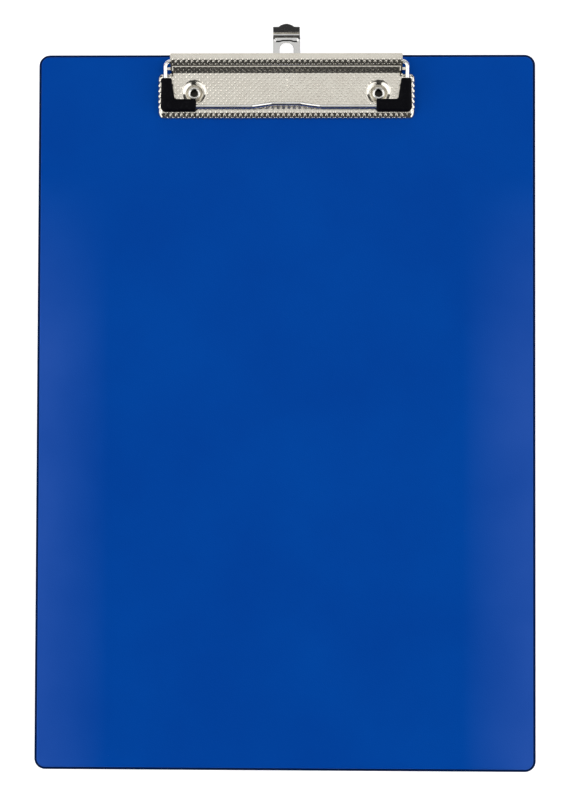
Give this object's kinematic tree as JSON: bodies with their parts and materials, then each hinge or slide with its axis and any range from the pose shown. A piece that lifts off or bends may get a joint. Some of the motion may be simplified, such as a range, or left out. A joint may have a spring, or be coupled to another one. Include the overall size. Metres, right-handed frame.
{
  "type": "clipboard",
  "caption": "Foil-covered clipboard with a riveted wire-bow clip, a press lever along its rear edge and a pull-out hanging hook.",
  "frame": {"origin": "centre of the board's flat back face", "axes": "+X across the board, +Y along it towards the clip and the hanging hook, +Z out of the writing face; the clipboard lies on its back"},
  "size_m": [0.232, 0.3469, 0.0096],
  "materials": {
    "blue_foil": "fine-grained satin foil",
    "grey_board": "raw pressed grey board",
    "embossed_nickel": "nickel plated, dot embossed",
    "spring_wire": "bright nickel plated",
    "black_sleeve": "satin soft plastic",
    "rivet_nickel": "nickel plated",
    "hook_steel": "nickel plated, smooth"
  },
  "bodies": {
    "board": {"back_foil": "blue_foil", "board_core": "grey_board", "front_foil": "blue_foil", "clip_base_plate": "embossed_nickel", "left_rivet": "rivet_nickel", "right_rivet": "rivet_nickel"},
    "bow": {"wire_bow": "spring_wire", "left_corner_sleeve": "black_sleeve", "right_corner_sleeve": "black_sleeve"},
    "lever": {"lever_plate": "embossed_nickel"},
    "hook": {"hanging_hook": "hook_steel"}
  },
  "joints": [
    {"name": "bow_hinge", "type": "hinge", "parent": "board", "child": "bow", "pos_m": [0, 0.1624, 0.0067], "axis": [-1, 0, 0], "range_deg": [0, 30], "stiffness_Nm_per_rad": 0.12, "springref_deg": -60.16},
    {"name": "lever_hinge", "type": "hinge", "parent": "board", "child": "lever", "pos_m": [0, 0.1624, 0.0067], "axis": [-1, 0, 0], "range_deg": [0, 30]},
    {"name": "hook_slide", "type": "slide", "parent": "board", "child": "hook", "axis": [0, -1, 0], "range_m": [0, 0.0095]}
  ],
  "couplings": [
    {"joint": "lever_hinge", "follows": "bow_hinge", "ratio": 1}
  ]
}
